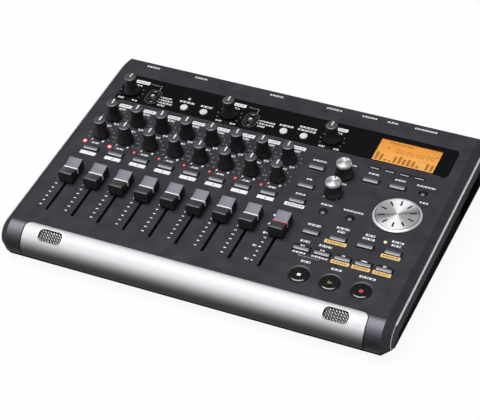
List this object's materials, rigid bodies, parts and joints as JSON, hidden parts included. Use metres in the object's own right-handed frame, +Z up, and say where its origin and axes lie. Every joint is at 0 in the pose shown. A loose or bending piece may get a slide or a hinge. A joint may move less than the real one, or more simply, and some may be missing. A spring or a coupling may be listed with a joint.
{
  "type": "digital multitrack recorder",
  "caption": "Wedge-shaped desktop multitrack recorder with faders, knobs, keys, data wheel, amber display, front microphones and rear sockets.",
  "frame": {"origin": "floor level under the middle of the object's box", "axes": "+X to the right of the panel, +Y to the rear sockets, +Z up"},
  "size_m": [0.29, 0.214, 0.0514],
  "materials": {
    "case_plastic": "satin charcoal moulded plastic",
    "lower_case_plastic": "fine textured black plastic",
    "bar_aluminium": "brushed satin aluminium",
    "grille_metal": "woven steel mesh",
    "gloss_black": "high gloss black acrylic",
    "display_amber": "backlit amber display",
    "board_green": "solder mask",
    "component_metal": "plated metal",
    "component_black": "moulded",
    "socket_black": "moulded black with plated contacts",
    "lamp_red": "tinted clear",
    "foot_rubber": "matt rubber",
    "screw_steel": "black zinc",
    "wheel_aluminium": "spun, radial sheen",
    "key_grey": "satin grey plastic",
    "key_dark": "satin dark plastic",
    "button_white": "smooth pale plastic",
    "button_gloss": "gloss black",
    "fader_cap": "satin dark plastic",
    "knob_black": "soft black plastic"
  },
  "bodies": {
    "case": {"top_case": "case_plastic", "bottom_case": "lower_case_plastic", "front_bar": "bar_aluminium", "microphones": "grille_metal", "display_strip": "gloss_black", "lcd_module": "display_amber", "main_board": "board_green", "rotary_pots": "component_metal", "fader_tracks": "component_metal", "tact_switches": "component_black", "phone_jacks": "socket_black", "mic_sockets": "socket_black", "line_power_sockets": "socket_black", "card_usb_sockets": "component_metal", "leds": "lamp_red", "rubber_feet": "foot_rubber", "case_screws": "screw_steel"},
    "fader_1": {"fader_1": "fader_cap"},
    "fader_2": {"fader_2": "fader_cap"},
    "fader_3": {"fader_3": "fader_cap"},
    "fader_4": {"fader_4": "fader_cap"},
    "fader_5": {"fader_5": "fader_cap"},
    "fader_6": {"fader_6": "fader_cap"},
    "fader_7": {"fader_7": "fader_cap"},
    "fader_8": {"fader_8": "fader_cap"},
    "fader_master": {"fader_master": "fader_cap"},
    "send_knob_1": {"send_knob_1": "knob_black"},
    "send_knob_2": {"send_knob_2": "knob_black"},
    "send_knob_3": {"send_knob_3": "knob_black"},
    "send_knob_4": {"send_knob_4": "knob_black"},
    "send_knob_5": {"send_knob_5": "knob_black"},
    "send_knob_6": {"send_knob_6": "knob_black"},
    "send_knob_7": {"send_knob_7": "knob_black"},
    "send_knob_8": {"send_knob_8": "knob_black"},
    "pan_knob_1": {"pan_knob_1": "knob_black"},
    "pan_knob_2": {"pan_knob_2": "knob_black"},
    "pan_knob_3": {"pan_knob_3": "knob_black"},
    "pan_knob_4": {"pan_knob_4": "knob_black"},
    "pan_knob_5": {"pan_knob_5": "knob_black"},
    "pan_knob_6": {"pan_knob_6": "knob_black"},
    "pan_knob_7": {"pan_knob_7": "knob_black"},
    "pan_knob_8": {"pan_knob_8": "knob_black"},
    "trim_knob_a": {"trim_knob_a": "knob_black"},
    "trim_knob_b": {"trim_knob_b": "knob_black"},
    "phones_knob": {"phones_knob": "knob_black"},
    "high_knob": {"high_knob": "knob_black"},
    "low_knob": {"low_knob": "knob_black"},
    "data_wheel": {"data_wheel": "wheel_aluminium"},
    "mode_switch_a": {"mode_switch_a": "button_white"},
    "mode_switch_b": {"mode_switch_b": "button_white"},
    "stop_button": {"stop_button": "button_gloss"},
    "play_button": {"play_button": "button_gloss"},
    "record_button": {"record_button": "button_gloss"},
    "rec_keys": {"rec_keys": "key_grey"},
    "mixer_menu_keys": {"mixer_menu_keys": "key_grey"},
    "locate_keys": {"locate_keys": "key_grey"},
    "function_round_keys": {"function_round_keys": "key_dark"},
    "input_buttons": {"input_buttons": "button_white"},
    "power_switch": {"power_switch": "key_dark"},
    "card_door": {"card_door": "lower_case_plastic"}
  },
  "joints": [
    {"name": "fader_1_slide", "type": "slide", "parent": "case", "child": "fader_1", "axis": [0, 0.9986, 0.0523], "range_m": [-0.0338, 0.0112]},
    {"name": "fader_2_slide", "type": "slide", "parent": "case", "child": "fader_2", "axis": [0, 0.9986, 0.0523], "range_m": [-0.0338, 0.0112]},
    {"name": "fader_3_slide", "type": "slide", "parent": "case", "child": "fader_3", "axis": [0, 0.9986, 0.0523], "range_m": [-0.0338, 0.0112]},
    {"name": "fader_4_slide", "type": "slide", "parent": "case", "child": "fader_4", "axis": [0, 0.9986, 0.0523], "range_m": [-0.0338, 0.0112]},
    {"name": "fader_5_slide", "type": "slide", "parent": "case", "child": "fader_5", "axis": [0, 0.9986, 0.0523], "range_m": [-0.0338, 0.0112]},
    {"name": "fader_6_slide", "type": "slide", "parent": "case", "child": "fader_6", "axis": [0, 0.9986, 0.0523], "range_m": [-0.0338, 0.0112]},
    {"name": "fader_7_slide", "type": "slide", "parent": "case", "child": "fader_7", "axis": [0, 0.9986, 0.0523], "range_m": [-0.0338, 0.0112]},
    {"name": "fader_8_slide", "type": "slide", "parent": "case", "child": "fader_8", "axis": [0, 0.9986, 0.0523], "range_m": [-0.0338, 0.0112]},
    {"name": "fader_master_slide", "type": "slide", "parent": "case", "child": "fader_master", "axis": [0, 0.9986, 0.0523], "range_m": [-0.0338, 0.0112]},
    {"name": "send_knob_1_turn", "type": "hinge", "parent": "case", "child": "send_knob_1", "pos_m": [-0.1205, 0.02781, 0.03532], "axis": [0, -0.0523, 0.9986], "range_deg": [-150, 150]},
    {"name": "send_knob_2_turn", "type": "hinge", "parent": "case", "child": "send_knob_2", "pos_m": [-0.1005, 0.02781, 0.03532], "axis": [0, -0.0523, 0.9986], "range_deg": [-150, 150]},
    {"name": "send_knob_3_turn", "type": "hinge", "parent": "case", "child": "send_knob_3", "pos_m": [-0.0805, 0.02781, 0.03532], "axis": [0, -0.0523, 0.9986], "range_deg": [-150, 150]},
    {"name": "send_knob_4_turn", "type": "hinge", "parent": "case", "child": "send_knob_4", "pos_m": [-0.0605, 0.02781, 0.03532], "axis": [0, -0.0523, 0.9986], "range_deg": [-150, 150]},
    {"name": "send_knob_5_turn", "type": "hinge", "parent": "case", "child": "send_knob_5", "pos_m": [-0.0405, 0.02781, 0.03532], "axis": [0, -0.0523, 0.9986], "range_deg": [-150, 150]},
    {"name": "send_knob_6_turn", "type": "hinge", "parent": "case", "child": "send_knob_6", "pos_m": [-0.0205, 0.02781, 0.03532], "axis": [0, -0.0523, 0.9986], "range_deg": [-150, 150]},
    {"name": "send_knob_7_turn", "type": "hinge", "parent": "case", "child": "send_knob_7", "pos_m": [-0.0005, 0.02781, 0.03532], "axis": [0, -0.0523, 0.9986], "range_deg": [-150, 150]},
    {"name": "send_knob_8_turn", "type": "hinge", "parent": "case", "child": "send_knob_8", "pos_m": [0.0195, 0.02781, 0.03532], "axis": [0, -0.0523, 0.9986], "range_deg": [-150, 150]},
    {"name": "pan_knob_1_turn", "type": "hinge", "parent": "case", "child": "pan_knob_1", "pos_m": [-0.1205, 0.00724, 0.03424], "axis": [0, -0.0523, 0.9986], "range_deg": [-150, 150]},
    {"name": "pan_knob_2_turn", "type": "hinge", "parent": "case", "child": "pan_knob_2", "pos_m": [-0.1005, 0.00724, 0.03424], "axis": [0, -0.0523, 0.9986], "range_deg": [-150, 150]},
    {"name": "pan_knob_3_turn", "type": "hinge", "parent": "case", "child": "pan_knob_3", "pos_m": [-0.0805, 0.00724, 0.03424], "axis": [0, -0.0523, 0.9986], "range_deg": [-150, 150]},
    {"name": "pan_knob_4_turn", "type": "hinge", "parent": "case", "child": "pan_knob_4", "pos_m": [-0.0605, 0.00724, 0.03424], "axis": [0, -0.0523, 0.9986], "range_deg": [-150, 150]},
    {"name": "pan_knob_5_turn", "type": "hinge", "parent": "case", "child": "pan_knob_5", "pos_m": [-0.0405, 0.00724, 0.03424], "axis": [0, -0.0523, 0.9986], "range_deg": [-150, 150]},
    {"name": "pan_knob_6_turn", "type": "hinge", "parent": "case", "child": "pan_knob_6", "pos_m": [-0.0205, 0.00724, 0.03424], "axis": [0, -0.0523, 0.9986], "range_deg": [-150, 150]},
    {"name": "pan_knob_7_turn", "type": "hinge", "parent": "case", "child": "pan_knob_7", "pos_m": [-0.0005, 0.00724, 0.03424], "axis": [0, -0.0523, 0.9986], "range_deg": [-150, 150]},
    {"name": "pan_knob_8_turn", "type": "hinge", "parent": "case", "child": "pan_knob_8", "pos_m": [0.0195, 0.00724, 0.03424], "axis": [0, -0.0523, 0.9986], "range_deg": [-150, 150]},
    {"name": "trim_knob_a_turn", "type": "hinge", "parent": "case", "child": "trim_knob_a", "pos_m": [-0.1215, 0.05946, 0.03698], "axis": [0, -0.0523, 0.9986], "range_deg": [-150, 150]},
    {"name": "trim_knob_b_turn", "type": "hinge", "parent": "case", "child": "trim_knob_b", "pos_m": [-0.0412, 0.05946, 0.03698], "axis": [0, -0.0523, 0.9986], "range_deg": [-150, 150]},
    {"name": "phones_knob_turn", "type": "hinge", "parent": "case", "child": "phones_knob", "pos_m": [0.0405, 0.05867, 0.03694], "axis": [0, -0.0523, 0.9986], "range_deg": [-150, 150]},
    {"name": "high_knob_turn", "type": "hinge", "parent": "case", "child": "high_knob", "pos_m": [0.0625, 0.02661, 0.03526], "axis": [0, -0.0523, 0.9986], "range_deg": [-150, 150]},
    {"name": "low_knob_turn", "type": "hinge", "parent": "case", "child": "low_knob", "pos_m": [0.0625, 0.00574, 0.03417], "axis": [0, -0.0523, 0.9986], "range_deg": [-150, 150]},
    {"name": "data_wheel_turn", "type": "hinge", "parent": "case", "child": "data_wheel", "pos_m": [0.112, -0.00045, 0.03384], "axis": [0, -0.0523, 0.9986], "continuous": true},
    {"name": "mode_switch_a_slide", "type": "slide", "parent": "case", "child": "mode_switch_a", "axis": [0, 0.9986, 0.0523], "range_m": [-0.003, 0.003]},
    {"name": "mode_switch_b_slide", "type": "slide", "parent": "case", "child": "mode_switch_b", "axis": [0, 0.9986, 0.0523], "range_m": [-0.003, 0.003]},
    {"name": "stop_button_press", "type": "slide", "parent": "case", "child": "stop_button", "axis": [0, 0.0523, -0.9986], "range_m": [0, 0.0005], "stiffness_N_per_m": 400, "springref_m": -0.002},
    {"name": "play_button_press", "type": "slide", "parent": "case", "child": "play_button", "axis": [0, 0.0523, -0.9986], "range_m": [0, 0.0005], "stiffness_N_per_m": 400, "springref_m": -0.002},
    {"name": "record_button_press", "type": "slide", "parent": "case", "child": "record_button", "axis": [0, 0.0523, -0.9986], "range_m": [0, 0.0005], "stiffness_N_per_m": 400, "springref_m": -0.002},
    {"name": "rec_keys_press", "type": "slide", "parent": "case", "child": "rec_keys", "axis": [0, 0.0523, -0.9986], "range_m": [0, 0.0005], "stiffness_N_per_m": 400, "springref_m": -0.002},
    {"name": "mixer_menu_keys_press", "type": "slide", "parent": "case", "child": "mixer_menu_keys", "axis": [0, 0.0523, -0.9986], "range_m": [0, 0.0005], "stiffness_N_per_m": 400, "springref_m": -0.002},
    {"name": "locate_keys_press", "type": "slide", "parent": "case", "child": "locate_keys", "axis": [0, 0.0523, -0.9986], "range_m": [0, 0.0005], "stiffness_N_per_m": 400, "springref_m": -0.002},
    {"name": "function_round_keys_press", "type": "slide", "parent": "case", "child": "function_round_keys", "axis": [0, 0.0523, -0.9986], "range_m": [0, 0.0005], "stiffness_N_per_m": 400, "springref_m": -0.002},
    {"name": "input_buttons_press", "type": "slide", "parent": "case", "child": "input_buttons", "axis": [0, 0.0523, -0.9986], "range_m": [0, 0.0005], "stiffness_N_per_m": 400, "springref_m": -0.002},
    {"name": "power_switch_slide", "type": "slide", "parent": "case", "child": "power_switch", "axis": [1, 0, 0], "range_m": [0, 0.004]},
    {"name": "card_door_hinge", "type": "hinge", "parent": "case", "child": "card_door", "pos_m": [0.1404, 0.05637, 0.0066], "axis": [0, 1, 0], "range_deg": [0, 95]}
  ]
}
